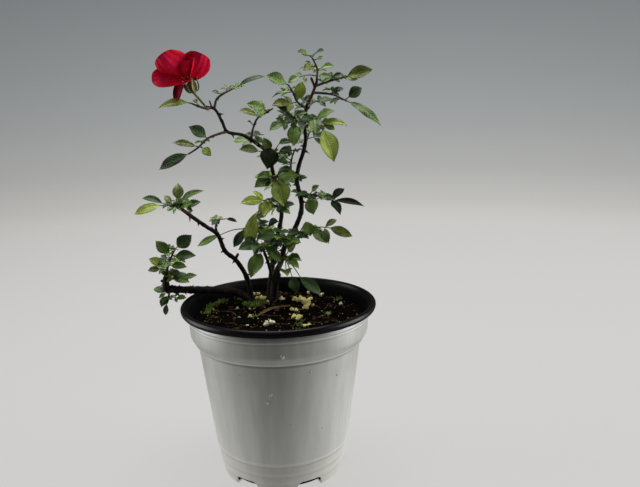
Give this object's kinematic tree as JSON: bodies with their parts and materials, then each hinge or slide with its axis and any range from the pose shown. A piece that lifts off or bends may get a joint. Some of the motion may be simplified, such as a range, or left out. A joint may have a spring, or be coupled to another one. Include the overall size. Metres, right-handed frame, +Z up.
{
  "type": "potted rose bush",
  "caption": "Rose bush with thorny canes, toothed compound leaves and a crimson bloom, standing on the flat foot of its round nursery pot.",
  "frame": {"origin": "centre of the flat underside of the pot", "axes": "+Z up along the pot's axis, -Y towards the side that the bush shows to the front, +X to its right"},
  "size_m": [0.1864, 0.1649, 0.3256],
  "materials": {
    "pot": "satin grey-white outside, glossy black rim and inside",
    "soil": "dark moist potting mix with perlite",
    "bark": "dark brown rose bark, reddish on young wood",
    "leaf": "semi-glossy green leaf",
    "hip": "satin olive green",
    "petal": "velvety crimson"
  },
  "bodies": {
    "root": {"bloom": "petal", "bloom_bough": "bark", "cane_back": "bark", "cane_inner": "bark", "cane_left": "bark", "cane_main": "bark", "foliage_back_high": "leaf", "foliage_back_left": "leaf", "foliage_back_low": "leaf", "foliage_back_middle": "leaf", "foliage_back_top": "leaf", "foliage_bloom_left": "leaf", "foliage_bloom_side": "leaf", "foliage_bloom_top": "leaf", "foliage_far_right": "leaf", "foliage_foot": "leaf", "foliage_front_low": "leaf", "foliage_heart": "leaf", "foliage_inner": "leaf", "foliage_left_fork": "leaf", "foliage_left_tip": "leaf", "foliage_low_hanging": "leaf", "foliage_low_left": "leaf", "foliage_low_middle": "leaf", "foliage_middle": "leaf", "foliage_middle_low": "leaf", "foliage_right_low": "leaf", "foliage_right_middle": "leaf", "foliage_shoot": "leaf", "foliage_spray": "leaf", "foliage_stub_side": "leaf", "foliage_top": "leaf", "foliage_top_right": "leaf", "foliage_upper_left": "leaf", "foliage_upper_middle": "leaf", "foliage_upper_right": "leaf", "hip": "hip", "low_bough": "bark", "low_stub": "bark", "pot": "pot", "soil": "soil"}
  },
  "joints": []
}
